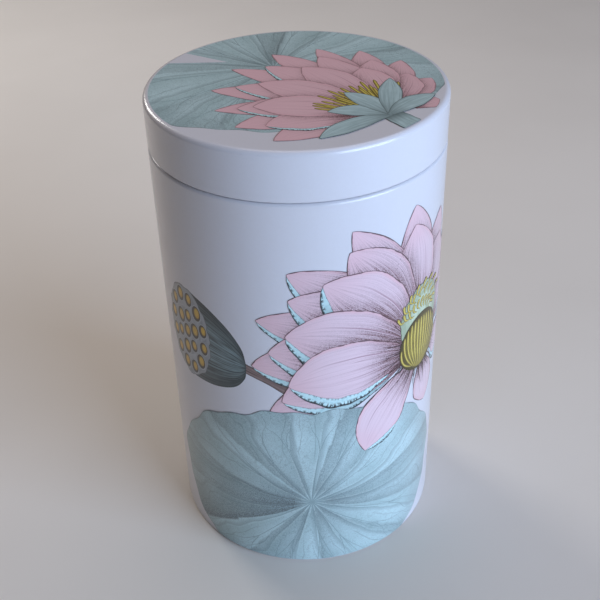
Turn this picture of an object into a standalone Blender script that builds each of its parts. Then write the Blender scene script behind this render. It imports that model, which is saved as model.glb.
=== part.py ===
"""Tea caddy: a round tinplate tin with a slip lid, and a plug lid inside it.

Units are metres and +Z is up. The origin is the middle of the foot, on the surface that the tin stands on.
Every piece is turned about the Z axis, and each is one closed body in its own object.
"""

from math import cos, pi, radians, sin

import bmesh
import bpy

# The tin as a whole
TIN_RADIUS = 0.0540  # outside of the body wall
TIN_HEIGHT = 0.1870  # foot to the top of the lid
SHEET = 0.0003  # thickness of the tinplate
GAP = 0.0003  # left between pieces that touch or slide

# The slip lid
LID_SKIRT = 0.0180  # height of the lid, from its hem to its top
LID_INSET = 0.0001  # how much smaller than the body's the lid's radius is
LID_EDGE_RADIUS = 0.0019  # rounding between the lid's top and skirt

# The body wall
ROLL_RADIUS = 0.0013  # the rolled-in top edge of the body
ROLL_LIP = 0.0002  # flat part of that edge, inside the roll
FOOT_EDGE_RADIUS = 0.0006  # rounding at the foot of the wall
FOOT_FLANGE = 0.0034  # width of the flat foot, from the wall inwards

# The inner sleeve
NECK_RISE = 0.0120  # how far the sleeve stands above the lid's joint
SLEEVE_DEPTH = 0.0300  # how far it reaches down into the body
SLEEVE_SHOULDER = 0.0022  # height of the slope between its neck and its wide part
NECK_HEM_RADIUS = 0.0006  # the rolled rim of the sleeve

# The base plate
BASE_RISE = 0.0052  # clear height under the panel
BASE_EDGE_RADIUS = 0.0022  # rounding between panel and rim
BASE_LIP = 0.0020  # width of the lip turned in at the bottom of the rim
PANEL_STEP = 0.0007  # depth of the pressed ring in the base panel
PANEL_STEP_RADIUS = 0.0400  # middle of that ring
SEAL_HEIGHT = 0.0026  # bead of sealing compound, along the wall
SEAL_FROM = 80  # where the bead starts and ends round the panel's edge, in degrees above level
SEAL_TO = 20

# The plug lid and its knob
PLUG_DEPTH = 0.0080  # from the rim of the plug lid down to its panel
PLUG_FLANGE_EDGE = 0.0004  # how far the flange stops short of the neck's outside
PLUG_CORNER_RADIUS = 0.0014  # rounding at the foot of the plug
BEAD_RADIUS = 0.0340  # middle of the ring pressed into the plug lid's panel
BEAD_HEIGHT = 0.0008
KNOB_RADIUS = 0.0075
KNOB_HEIGHT = 0.0072
KNOB_CROWN_HEIGHT = 0.0021  # the rounded top
KNOB_UNDERCUT = 0.00084  # height of the slope under the top
KNOB_WAIST_RADIUS = 0.0046
KNOB_FOOT_RADIUS = 0.0060
KNOB_FOOT_HEIGHT = 0.0009
KNOB_FOOT_SLOPE = 0.00054  # height of the slope above the foot
RIVET_RADIUS = 0.0013  # shank
RIVET_HEAD_RADIUS = 0.0030
RIVET_HEAD_FLAT = 0.0024  # radius of the flat end of the head
RIVET_HEAD_HEIGHT = 0.0010
RIVET_REACH = 0.0045  # how far the shank goes up into the knob

# How finely the round shapes are cut
TURN_STEPS = 48
FINE_STEPS = 24  # for the knob, the rivet and other small turned pieces
ARC_STEP = radians(36)
WELD = 0.00001

# Worked out from the sizes above
JOINT_Z = TIN_HEIGHT - LID_SKIRT  # the lid's lower edge
WALL_TOP = JOINT_Z - GAP
LID_RADIUS = TIN_RADIUS - LID_INSET
BORE_RADIUS = TIN_RADIUS - SHEET  # inside of the body wall
ROLL_MIDDLE_RADIUS = TIN_RADIUS - ROLL_RADIUS
WALL_MOUTH = ROLL_MIDDLE_RADIUS - ROLL_LIP
NECK_RADIUS = WALL_MOUTH - GAP
LID_HEM_RADIUS = (LID_RADIUS - NECK_RADIUS - GAP) / 2
SLEEVE_RADIUS = BORE_RADIUS - GAP
NECK_TOP = JOINT_Z + NECK_RISE
NECK_MOUTH = NECK_RADIUS - 2 * NECK_HEM_RADIUS
FLANGE_Z = NECK_TOP + GAP  # underside of the plug lid's flange
PLUG_RADIUS = NECK_MOUTH - GAP
PANEL_Z = FLANGE_Z + SHEET - PLUG_DEPTH  # top of the plug lid's panel
BASE_RADIUS = BORE_RADIUS - GAP
BASE_BOTTOM = SHEET + GAP
BASE_TOP = BASE_RISE + SHEET


def arc(middle, radius, start, end):
    """Points on an arc in the radius-height plane, from one angle in degrees to another."""
    first = radians(start)
    sweep = radians(end) - first
    count = max(2, round(abs(sweep) / ARC_STEP))
    middle_r, middle_z = middle
    return [
        (
            middle_r + radius * cos(first + sweep * i / count),
            middle_z + radius * sin(first + sweep * i / count),
        )
        for i in range(count + 1)
    ]


def collection(name):
    """Makes a collection in the scene."""
    made = bpy.data.collections.new(name)
    bpy.context.scene.collection.children.link(made)
    return made


def finish(name, colour, roughness, metallic):
    """Makes a Principled material."""
    material = bpy.data.materials.new(name)
    material.use_nodes = True
    shader = material.node_tree.nodes["Principled BSDF"]
    shader.inputs["Base Color"].default_value = (*colour, 1.0)
    shader.inputs["Roughness"].default_value = roughness
    shader.inputs["Metallic"].default_value = metallic
    return material


def turned(name, outline, closed, steps):
    """Turns a radius-height outline about Z. An open outline runs down the outer side."""
    mesh = bpy.data.meshes.new(name)
    shape = bmesh.new()
    points = [shape.verts.new((r, 0.0, z)) for r, z in outline]
    for a, b in zip(points, points[1:]):
        shape.edges.new((a, b))
    if closed:
        shape.edges.new((points[-1], points[0]))
    shape.to_mesh(mesh)
    shape.free()
    piece = bpy.data.objects.new(name, mesh)
    screw = piece.modifiers.new("turn", "SCREW")
    screw.axis = "Z"
    screw.angle = 2 * pi
    screw.steps = steps
    screw.render_steps = steps
    screw.use_merge_vertices = True
    screw.merge_threshold = WELD
    screw.use_smooth_shade = True
    return piece


def pressed(name, outline, steps=TURN_STEPS):
    """A piece of tinplate. The outline is its outer face, and the sheet lies inside it."""
    piece = turned(name, outline, False, steps)
    sheet = piece.modifiers.new("sheet", "SOLIDIFY")
    sheet.thickness = SHEET
    sheet.offset = -1.0
    sheet.use_even_offset = True
    sheet.use_quality_normals = True
    return piece


def solid(name, outline, steps):
    """A solid turned piece, whose outline starts and ends on the axis, or goes round a ring."""
    on_axis = outline[0][0] == 0.0 and outline[-1][0] == 0.0
    return turned(name, outline, not on_axis, steps)


def place(piece, home, material, origin_z=0.0):
    """Puts a piece in its collection, with its origin on the axis at the given height."""
    piece.data.materials.append(material)
    for point in piece.data.vertices:
        point.co.z -= origin_z
    piece.location.z = origin_z
    home.objects.link(piece)


def body_wall():
    """The cylinder: rolled-in top edge, straight wall, and a flat foot turned inwards."""
    roll = arc((ROLL_MIDDLE_RADIUS, WALL_TOP - ROLL_RADIUS), ROLL_RADIUS, 90, 0)
    foot = arc(
        (TIN_RADIUS - FOOT_EDGE_RADIUS, FOOT_EDGE_RADIUS), FOOT_EDGE_RADIUS, 0, -90
    )
    lip = (WALL_MOUTH, WALL_TOP)
    flange = (TIN_RADIUS - FOOT_FLANGE, 0.0)
    return pressed("body_wall", [lip, *roll, *foot, flange])


def neck_sleeve():
    """The inner sleeve: a rolled rim, the neck, and a wider part that sits in the body."""
    middle = (NECK_RADIUS - NECK_HEM_RADIUS, NECK_TOP - NECK_HEM_RADIUS)
    rim = arc(middle, NECK_HEM_RADIUS, 180, 0)
    shoulder = WALL_TOP - ROLL_RADIUS
    return pressed(
        "neck_sleeve",
        [
            *rim,
            (NECK_RADIUS, shoulder),
            (SLEEVE_RADIUS, shoulder - SLEEVE_SHOULDER),
            (SLEEVE_RADIUS, JOINT_Z - SLEEVE_DEPTH),
        ],
    )


def base_plate():
    """The recessed bottom: a panel with a pressed ring, and a rim that stands on the foot."""
    corner = arc(
        (BASE_RADIUS - BASE_EDGE_RADIUS, BASE_TOP - BASE_EDGE_RADIUS),
        BASE_EDGE_RADIUS,
        90,
        0,
    )
    return pressed(
        "base_plate",
        [
            (0.0, BASE_TOP),
            (PANEL_STEP_RADIUS - 2 * PANEL_STEP, BASE_TOP),
            (PANEL_STEP_RADIUS - PANEL_STEP, BASE_TOP + PANEL_STEP),
            (PANEL_STEP_RADIUS + PANEL_STEP, BASE_TOP + PANEL_STEP),
            (PANEL_STEP_RADIUS + 2 * PANEL_STEP, BASE_TOP),
            *corner,
            (BASE_RADIUS, BASE_BOTTOM),
            (BASE_RADIUS - BASE_LIP, BASE_BOTTOM),
        ],
    )


def base_seal():
    """The bead of compound that lies on the base plate's rounded edge, against the wall."""
    middle = (BASE_RADIUS - BASE_EDGE_RADIUS, BASE_TOP - BASE_EDGE_RADIUS)
    under = arc(middle, BASE_EDGE_RADIUS + GAP, SEAL_FROM, SEAL_TO)
    outside = BORE_RADIUS - GAP
    under = [(min(r, outside), z) for r, z in under]
    top = BASE_TOP + SEAL_HEIGHT
    return solid("base_seal", [(outside - GAP, top), (outside, top), *reversed(under)], TURN_STEPS)


def lid_shell():
    """The slip lid: flat top, rounded edge, skirt, and a hem rolled inwards at the bottom."""
    edge = arc(
        (LID_RADIUS - LID_EDGE_RADIUS, TIN_HEIGHT - LID_EDGE_RADIUS),
        LID_EDGE_RADIUS,
        90,
        0,
    )
    hem = arc(
        (LID_RADIUS - LID_HEM_RADIUS, JOINT_Z + LID_HEM_RADIUS), LID_HEM_RADIUS, 0, -180
    )
    return pressed("lid_shell", [(0.0, TIN_HEIGHT), *edge, *hem])


def inner_lid():
    """The plug lid: a flange on the neck, a plug wall, and a panel with a ring and a hole."""
    flange_top = FLANGE_Z + SHEET
    flange_edge = NECK_RADIUS - PLUG_FLANGE_EDGE
    corner = PLUG_CORNER_RADIUS - SHEET
    inside = PLUG_RADIUS - SHEET
    foot = arc((inside - corner, PANEL_Z + corner), corner, -90, 0)
    hole = RIVET_RADIUS + GAP
    return pressed(
        "inner_lid",
        [
            (hole, PANEL_Z),
            (BEAD_RADIUS - 2 * BEAD_HEIGHT, PANEL_Z),
            (BEAD_RADIUS - BEAD_HEIGHT, PANEL_Z + BEAD_HEIGHT),
            (BEAD_RADIUS + BEAD_HEIGHT, PANEL_Z + BEAD_HEIGHT),
            (BEAD_RADIUS + 2 * BEAD_HEIGHT, PANEL_Z),
            *foot,
            (inside, flange_top - SHEET),
            (inside + SHEET, flange_top),
            (flange_edge, flange_top),
        ],
    )


def inner_lid_knob():
    """The knob: a foot, a waist and a rounded top, bored from below for the rivet."""
    foot = PANEL_Z + GAP
    top = foot + KNOB_HEIGHT
    bore = RIVET_RADIUS + GAP
    bore_top = foot + RIVET_REACH
    crown = KNOB_CROWN_HEIGHT
    cap = arc((KNOB_RADIUS - crown / 2, top - crown / 2), crown / 2, 90, -90)
    return solid(
        "inner_lid_knob",
        [
            (0.0, top),
            *cap,
            (KNOB_WAIST_RADIUS, top - crown - KNOB_UNDERCUT),
            (KNOB_WAIST_RADIUS, foot + KNOB_FOOT_HEIGHT + KNOB_FOOT_SLOPE),
            (KNOB_FOOT_RADIUS, foot + KNOB_FOOT_HEIGHT),
            (KNOB_FOOT_RADIUS, foot),
            (bore, foot),
            (bore, bore_top),
            (0.0, bore_top),
        ],
        FINE_STEPS,
    )


def knob_rivet():
    """The rivet: a head under the plug lid's panel, and a shank up into the knob."""
    head_top = PANEL_Z - SHEET - GAP
    head_bottom = head_top - RIVET_HEAD_HEIGHT
    shank_top = PANEL_Z + RIVET_REACH
    return solid(
        "knob_rivet",
        [
            (0.0, shank_top),
            (RIVET_RADIUS, shank_top),
            (RIVET_RADIUS, head_top),
            (RIVET_HEAD_RADIUS, head_top),
            (RIVET_HEAD_RADIUS, (head_top + head_bottom) / 2),
            (RIVET_HEAD_FLAT, head_bottom),
            (0.0, head_bottom),
        ],
        FINE_STEPS,
    )


def main():
    """Builds the tin."""
    for old in list(bpy.data.objects):
        bpy.data.objects.remove(old)
    caddy = collection("tea_caddy")
    printed = finish("printed_tinplate", (0.66, 0.68, 0.78), 0.30, 0.0)
    bare = finish("bare_tinplate", (0.62, 0.63, 0.64), 0.28, 1.0)
    compound = finish("sealing_compound", (0.35, 0.33, 0.30), 0.70, 0.0)
    nickel = finish("turned_metal", (0.70, 0.70, 0.72), 0.22, 1.0)
    place(body_wall(), caddy, printed)
    place(neck_sleeve(), caddy, bare)
    place(base_plate(), caddy, bare)
    place(base_seal(), caddy, compound)
    place(lid_shell(), caddy, printed, JOINT_Z)
    place(inner_lid(), caddy, bare, FLANGE_Z)
    place(inner_lid_knob(), caddy, nickel, FLANGE_Z)
    place(knob_rivet(), caddy, nickel, FLANGE_Z)


main()
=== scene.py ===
"""Looks of the tea caddy: the printed tin, its lids and its lotus design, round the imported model.

Sizes are in metres, except in the printed design, which is laid out in millimetres.
"""

import logging
import math
from dataclasses import dataclass, field, replace
from enum import Enum
from typing import Any, Iterable, Optional, Sequence

import bmesh
import bpy
import numpy as np
from mathutils import Matrix, Vector


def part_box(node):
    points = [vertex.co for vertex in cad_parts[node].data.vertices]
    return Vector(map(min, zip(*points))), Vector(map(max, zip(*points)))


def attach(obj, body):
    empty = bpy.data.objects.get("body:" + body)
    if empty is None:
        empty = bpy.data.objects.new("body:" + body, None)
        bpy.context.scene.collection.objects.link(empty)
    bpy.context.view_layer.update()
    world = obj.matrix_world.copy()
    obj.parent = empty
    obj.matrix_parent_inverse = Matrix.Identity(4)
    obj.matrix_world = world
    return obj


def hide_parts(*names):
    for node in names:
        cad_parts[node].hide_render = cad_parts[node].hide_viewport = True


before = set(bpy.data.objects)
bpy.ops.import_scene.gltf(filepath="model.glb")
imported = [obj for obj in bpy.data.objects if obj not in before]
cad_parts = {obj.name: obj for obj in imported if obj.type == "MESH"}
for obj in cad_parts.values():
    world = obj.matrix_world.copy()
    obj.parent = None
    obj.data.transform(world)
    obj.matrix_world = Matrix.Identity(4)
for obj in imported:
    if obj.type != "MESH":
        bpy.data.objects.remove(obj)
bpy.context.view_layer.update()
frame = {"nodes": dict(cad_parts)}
log = logging.getLogger("tea_caddy")

MM = 0.001
PRINT_MAP = "print"
FULL_TURN = 2 * math.pi
SMOOTH_ANGLE = math.radians(40.0)
Point = tuple[float, float]
Triple = tuple[float, float, float]
Colour = Triple


# ---------------------------------------------------------------- shader tools


class Value:
    """A number or a colour that changes over a surface, used in Python expressions."""

    def __init__(self, recipe: "Recipe", socket: bpy.types.NodeSocket) -> None:
        """Wraps a socket.

        Args:
            recipe: the material that the socket belongs to.
            socket: the output socket of a node.
        """
        self.recipe = recipe
        self.socket = socket

    def _math(self, operation: str, *terms: Any) -> "Value":
        """Adds a Math node.

        Args:
            operation: the node's operation.
            *terms: its inputs in order, each a Value or a number.

        Returns:
            The node's result.
        """
        node = self.recipe.node("ShaderNodeMath", {"operation": operation}, dict(enumerate(terms)))
        return Value(self.recipe, node.outputs[0])

    def __add__(self, other: Any) -> "Value":
        """Adds."""
        return self._math("ADD", self, other)

    __radd__ = __add__

    def __sub__(self, other: Any) -> "Value":
        """Subtracts."""
        return self._math("SUBTRACT", self, other)

    def __rsub__(self, other: Any) -> "Value":
        """Subtracts from a number."""
        return self._math("SUBTRACT", other, self)

    def __mul__(self, other: Any) -> "Value":
        """Multiplies."""
        return self._math("MULTIPLY", self, other)

    __rmul__ = __mul__

    def __truediv__(self, other: Any) -> "Value":
        """Divides."""
        return self._math("DIVIDE", self, other)

    def __pow__(self, other: Any) -> "Value":
        """Raises to a power."""
        return self._math("POWER", self, other)

    def fraction(self) -> "Value":
        """The part after the decimal point."""
        return self._math("FRACT", self)

    def size(self) -> "Value":
        """The value without its sign."""
        return self._math("ABSOLUTE", self)

    def least(self, other: Any) -> "Value":
        """The smaller of two."""
        return self._math("MINIMUM", self, other)

    def most(self, other: Any) -> "Value":
        """The larger of two."""
        return self._math("MAXIMUM", self, other)

    def sine(self) -> "Value":
        """The sine."""
        return self._math("SINE", self)

    def ramp(self, low: float, high: float, start: float = 0.0, end: float = 1.0) -> "Value":
        """Maps a range smoothly onto another, held at both ends.

        Args:
            low: the value that gives start.
            high: the value that gives end.
            start: the result at low.
            end: the result at high.

        Returns:
            The mapped value.
        """
        settings = {"interpolation_type": "SMOOTHSTEP", "clamp": True}
        sockets = {0: self, 1: low, 2: high, 3: start, 4: end}
        node = self.recipe.node("ShaderNodeMapRange", settings, sockets)
        return Value(self.recipe, node.outputs[0])

    def fall(self, low: float, high: float) -> "Value":
        """Falls smoothly from 1 at low to 0 at high."""
        return self.ramp(low, high, 1.0, 0.0)

    def near(self, level: float, inner: float, outer: float) -> "Value":
        """Is 1 within inner of a level, and 0 further than outer from it."""
        return (self - level).size().fall(inner, outer)


class Recipe:
    """A material under construction, with a Principled shader."""

    def __init__(self, name: str) -> None:
        """Starts a material.

        Args:
            name: the material's name.
        """
        self.material = bpy.data.materials.new(name)
        self.material.use_nodes = True
        self.tree = self.material.node_tree
        self.shader = self.tree.nodes["Principled BSDF"]

    def node(self, kind: str, settings: dict[str, Any], sockets: dict[Any, Any]) -> bpy.types.Node:
        """Adds a node.

        Args:
            kind: the node's type.
            settings: its properties, set before its sockets.
            sockets: what each input holds, by name or place: a Value or a constant.

        Returns:
            The node.
        """
        node = self.tree.nodes.new(kind)
        for name, setting in settings.items():
            setattr(node, name, setting)
        for name, content in sockets.items():
            self.feed(node.inputs[name], content)
        return node

    def feed(self, socket: bpy.types.NodeSocket, content: Any) -> None:
        """Gives a socket a Value or a constant.

        Args:
            socket: an input socket.
            content: what it gets. Three numbers for a colour become four.
        """
        if isinstance(content, Value):
            self.tree.links.new(content.socket, socket)
            return
        if socket.type == "RGBA" and len(content) == 3:
            content = (*content, 1.0)
        socket.default_value = content

    def set(self, **sockets: Any) -> None:
        """Sets inputs of the shader.

        Args:
            **sockets: what each input holds, with _ for a space in its name.
        """
        for name, content in sockets.items():
            self.feed(self.shader.inputs[name.replace("_", " ")], content)

    def place(self) -> Value:
        """The point on the piece, in metres."""
        node = self.node("ShaderNodeTexCoord", {}, {})
        return Value(self, node.outputs["Object"])

    def stretched(self, place: Value, scale: Triple) -> Value:
        """A place with each direction scaled.

        Args:
            place: the coordinates.
            scale: a factor for each axis.

        Returns:
            The scaled coordinates.
        """
        node = self.node("ShaderNodeVectorMath", {"operation": "MULTIPLY"}, {0: place, 1: scale})
        return Value(self, node.outputs[0])

    def noise(self, place: Value, scale: float, detail: float = 3.0, rough: float = 0.5) -> Value:
        """Soft random values, from 0 to 1.

        Args:
            place: the coordinates.
            scale: how many features there are for each unit.
            detail: how many finer layers are added.
            rough: how strong the finer layers are.

        Returns:
            The noise.
        """
        sockets = {"Vector": place, "Scale": scale, "Detail": detail, "Roughness": rough}
        return Value(self, self.node("ShaderNodeTexNoise", {}, sockets).outputs[0])

    def marks(self, *names: str) -> list[Value]:
        """Numbers stored on the piece's points, by attribute name."""
        nodes = [self.node("ShaderNodeAttribute", {"attribute_name": name}, {}) for name in names]
        return [Value(self, node.outputs["Fac"]) for node in nodes]

    def map_place(self) -> Value:
        """The place on the piece's own map: across it, then along it."""
        return Value(self, self.node("ShaderNodeUVMap", {"uv_map": PRINT_MAP}, {}).outputs[0])

    def streaks(self, across: float, along: float, detail: float = 1.0) -> Value:
        """Noise that is drawn out on the piece's own map.

        Args:
            across: how many features there are across the piece.
            along: how many there are along it.
            detail: how many finer layers are added.

        Returns:
            The noise.
        """
        return self.noise(self.stretched(self.map_place(), (across, along, 1.0)), 1.0, detail)

    def axes(self, place: Value) -> tuple[Value, Value, Value]:
        """Splits a place into its three numbers.

        Args:
            place: the coordinates.

        Returns:
            X, Y and Z.
        """
        node = self.node("ShaderNodeSeparateXYZ", {}, {0: place})
        return tuple(Value(self, socket) for socket in node.outputs)

    def mix(self, first: Any, second: Any, share: Any) -> Value:
        """Mixes two colours.

        Args:
            first: the colour at share 0.
            second: the colour at share 1.
            share: how much of the second there is.

        Returns:
            The mixed colour.
        """
        settings = {"data_type": "RGBA", "clamp_factor": True}
        node = self.node("ShaderNodeMix", settings, {0: share, 6: first, 7: second})
        return Value(self, node.outputs[2])

    def bump(self, height: Value, depth: float, strength: float = 1.0) -> Value:
        """Turns a height into a normal.

        Args:
            height: the height, from 0 to 1.
            depth: how many metres a height of 1 is.
            strength: how much of the bump shows.

        Returns:
            The normal.
        """
        sockets = {"Height": height, "Distance": depth, "Strength": strength}
        return Value(self, self.node("ShaderNodeBump", {}, sockets).outputs[0])


# -------------------------------------------------------------------- finishes


@dataclass(frozen=True)
class Finish:
    """What a surface is finished with."""

    name: str

    def make(self) -> bpy.types.Material:
        """Makes the finish.

        Returns:
            Its material.
        """
        recipe = Recipe(self.name)
        self.fill(recipe)
        return recipe.material

    def fill(self, recipe: Recipe) -> None:
        """Gives the shader its colour and gloss."""
        raise NotImplementedError


@dataclass(frozen=True)
class Lacquer:
    """The clear satin lacquer over all that is printed."""

    roughness: float = 0.28
    hazy: float = 0.02
    coat: float = 0.35
    coat_roughness: float = 0.12

    def over(self, recipe: Recipe, colour: Value) -> None:
        """Lays the lacquer over a colour.

        Args:
            recipe: the material.
            colour: what lies under the lacquer.
        """
        place = recipe.place()
        haze = recipe.noise(place, 55.0, 4.0)
        skin = recipe.noise(place, 1400.0, 2.0)
        rough = self.roughness + haze.ramp(0.2, 0.8) * self.hazy
        recipe.set(Base_Color=colour, Roughness=rough, IOR=1.5)
        recipe.set(Coat_Weight=self.coat, Coat_Roughness=self.coat_roughness)
        recipe.set(Normal=recipe.bump(skin, 0.000012, 0.5))


@dataclass(frozen=True)
class Ink(Finish):
    """A printed colour under the lacquer."""

    def fill(self, recipe: Recipe) -> None:
        """Lays the lacquer over the printed colour."""
        Lacquer().over(recipe, self.tint(recipe))

    def tint(self, recipe: Recipe) -> Value:
        """Mixes the printed colour."""
        raise NotImplementedError


@dataclass(frozen=True)
class WhiteGround(Ink):
    """The off-white print that covers the tin."""

    name: str = "white_ground"
    white: Colour = (0.70, 0.70, 0.76)
    aged: Colour = (0.675, 0.67, 0.715)

    def tint(self, recipe: Recipe) -> Value:
        """Mixes the printed colour.

        Args:
            recipe: the material.

        Returns:
            The colour.
        """
        place = recipe.place()
        cloud = recipe.noise(place, 22.0, 4.0, 0.6)
        grain = recipe.noise(place, 900.0, 2.0)
        share = cloud.ramp(0.2, 0.8) * 0.6 + grain.ramp(0.3, 0.7) * 0.25
        return recipe.mix(self.white, self.aged, share)


@dataclass(frozen=True)
class PetalInk(Ink):
    """Petals: pale, pinker at the rim, with fine veins and dark engraved hatching."""

    name: str = "petal_ink"
    pale: Colour = (0.79, 0.61, 0.68)
    pink: Colour = (0.83, 0.49, 0.54)
    vein: Colour = (0.36, 0.19, 0.24)
    shadow: Colour = (0.13, 0.055, 0.062)
    line: Colour = (0.05, 0.02, 0.025)

    def tint(self, recipe: Recipe) -> Value:
        """Mixes the printed colour.

        Args:
            recipe: the material.

        Returns:
            The colour.
        """
        _, along, _ = recipe.axes(recipe.map_place())
        place = recipe.place()
        margin, shade, line = recipe.marks("margin", "shade", "line")
        wash = recipe.noise(place, 120.0, 3.0)
        blush = (margin.fall(0.2, 2.2) * 0.75).most(along.ramp(0.62, 1.0) * 0.45)
        colour = recipe.mix(self.pale, self.pink, blush * wash.ramp(0.2, 0.7, 0.55, 1.0))
        veins = recipe.streaks(14.0, 0.35).near(0.5, 0.0, 0.018) * along.ramp(0.2, 0.95, 0.75, 0.25)
        fine = recipe.streaks(50.0, 1.1).near(0.5, 0.0, 0.05) * along.ramp(0.1, 0.7, 0.5, 0.1)
        colour = recipe.mix(colour, self.vein, veins.most(fine) * margin.ramp(0.1, 1.0))
        grain = recipe.noise(place, 3000.0, 2.0).ramp(0.35, 0.65, 0.55, 1.35)
        depth = shade * grain * recipe.streaks(70.0, 1.6, 2.0).ramp(0.34, 0.66, 0.45, 1.75)
        colour = recipe.mix(colour, self.shadow, depth.least(1.0))
        press = recipe.noise(place, 260.0, 1.0).ramp(0.35, 0.65, 0.24, 0.55)
        stroke = (margin / press).fall(0.5, 1.3) * line
        return recipe.mix(colour, self.line, stroke.least(0.95))


@dataclass(frozen=True)
class RolledInk(Ink):
    """Rolled petal edges: pale cyan, with dark ticks and a dark outer outline."""

    name: str = "rolled_edge_ink"
    light: Colour = (0.60, 0.83, 0.86)
    deep: Colour = (0.30, 0.58, 0.64)
    line: Colour = (0.018, 0.02, 0.026)

    def tint(self, recipe: Recipe) -> Value:
        """Mixes the printed colour.

        Args:
            recipe: the material.

        Returns:
            The colour.
        """
        across, _, _ = recipe.axes(recipe.map_place())
        margin, shade = recipe.marks("margin", "shade")
        ticks = recipe.streaks(1.3, 34.0, 2.0).ramp(0.47, 0.55)
        tone = recipe.noise(recipe.place(), 700.0, 3.0)
        colour = recipe.mix(self.light, self.deep, tone.ramp(0.4, 0.75) * 0.45)
        body = across.ramp(0.0, 0.3, 0.6, 0.0).most(across.ramp(0.35, 0.8))
        colour = recipe.mix(colour, self.line, (ticks * body * 0.95).most(shade * 0.8))
        rim = across.ramp(0.74, 0.88).most(margin.ramp(0.08, 0.25, 0.8, 0.0))
        return recipe.mix(colour, self.line, rim * 0.92)


@dataclass(frozen=True)
class LeafInk(Ink):
    """The lotus leaf: soft pleats and fine branching veins that spread from its middle."""

    name: str = "leaf_ink"
    light: Colour = (0.58, 0.76, 0.79)
    mid: Colour = (0.41, 0.565, 0.58)
    vein: Colour = (0.17, 0.245, 0.26)
    pale_vein: Colour = (0.62, 0.77, 0.79)
    shadow: Colour = (0.085, 0.11, 0.12)
    veins: int = 17

    def tint(self, recipe: Recipe) -> Value:
        """Mixes the printed colour.

        Args:
            recipe: the material.

        Returns:
            The colour.
        """
        out, turn, _ = recipe.axes(recipe.map_place())
        place = recipe.place()
        reach, margin, shade = recipe.marks("reach", "margin", "shade")
        sway = (recipe.noise(place, 26.0, 3.0) - 0.5) * 2.0
        pleat = (turn * self.veins + sway * out).fraction()
        apart = (0.5 - (pleat - 0.5).size()) * reach * (FULL_TURN / self.veins)
        branch = (turn * (2 * self.veins) + sway * 2.6 * out + 0.5).fraction()
        branch_gap = (0.5 - (branch - 0.5).size()) * reach * (math.pi / self.veins)
        web = recipe.noise(place, 110.0, 2.0)
        wash = recipe.noise(place, 60.0, 4.0, 0.6)
        fold = pleat.ramp(0.02, 0.95) * out.ramp(0.05, 0.5, 0.4, 1.0)
        colour = recipe.mix(self.mid, self.light, fold * 0.55 + wash.ramp(0.3, 0.7) * 0.4)
        thin = out.ramp(0.0, 1.0, 1.0, 0.35)
        dark = apart.fall(0.05, 0.38) * thin * 0.7
        soft = apart.fall(0.2, 2.4) * pleat.ramp(0.4, 0.6) * 0.4
        twig = branch_gap.fall(0.03, 0.3) * out.ramp(0.42, 0.6) * 0.45
        mesh = web.near(0.5, 0.0, 0.012) * out.ramp(0.15, 0.4) * 0.22
        colour = recipe.mix(colour, self.vein, dark.most(twig).most(soft).most(mesh))
        glow = apart.near(0.7, 0.1, 0.5) * pleat.fall(0.45, 0.55)
        colour = recipe.mix(colour, self.pale_vein, glow * thin * 0.45)
        grain = recipe.noise(place, 3200.0, 2.0)
        colour = recipe.mix(colour, self.vein, grain.ramp(0.5, 0.72) * 0.5)
        depth = shade * grain.ramp(0.35, 0.65, 0.7, 1.3)
        colour = recipe.mix(colour, self.shadow, depth.least(1.0))
        rim = margin.fall(0.1, 0.5) * recipe.noise(place, 200.0).ramp(0.35, 0.6)
        return recipe.mix(colour, self.shadow, rim * 0.7)


@dataclass(frozen=True)
class BandInk(Ink):
    """Ink for stems, pods, stamens and other small parts: two tones with lines along them.

    Lines is how many there are across, and edge how dark the outline is.
    """

    light: Colour
    dark: Colour
    lines: float = 14.0
    contrast: float = 0.8
    edge: float = 0.7

    def tint(self, recipe: Recipe) -> Value:
        """Mixes the printed colour.

        Args:
            recipe: the material.

        Returns:
            The colour.
        """
        margin, shade = recipe.marks("margin", "shade")
        fibre = recipe.streaks(self.lines, 1.6, 2.0).ramp(0.35, 0.68)
        tone = recipe.noise(recipe.place(), 300.0, 3.0).ramp(0.3, 0.7)
        colour = recipe.mix(self.light, self.dark, fibre * self.contrast + tone * 0.15)
        rim = margin.fall(0.1, 0.45) * self.edge
        deepest = tuple(0.25 * part for part in self.dark)
        return recipe.mix(colour, deepest, rim.most(shade).least(1.0))


@dataclass(frozen=True)
class Tinplate(Finish):
    """Bare tinplate: bright steel with the fine lines of the rolling mill."""

    name: str = "bare_tinplate"
    colour: Colour = (0.66, 0.67, 0.69)
    dull: Colour = (0.42, 0.42, 0.43)

    def fill(self, recipe: Recipe) -> None:
        """Gives the shader its colour and gloss.

        Args:
            recipe: the material.
        """
        place = recipe.place()
        rolled = recipe.noise(recipe.stretched(place, (40.0, 2200.0, 2200.0)), 1.0, 3.0)
        bloom = recipe.noise(place, 70.0, 4.0, 0.6)
        colour = recipe.mix(self.colour, self.dull, bloom.ramp(0.45, 0.8) * 0.45)
        rough = rolled.ramp(0.3, 0.7, 0.2, 0.34) + bloom.ramp(0.4, 0.8) * 0.1
        recipe.set(Base_Color=colour, Metallic=1.0, Roughness=rough)
        recipe.set(Normal=recipe.bump(rolled, 0.00001, 0.4))


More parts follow.
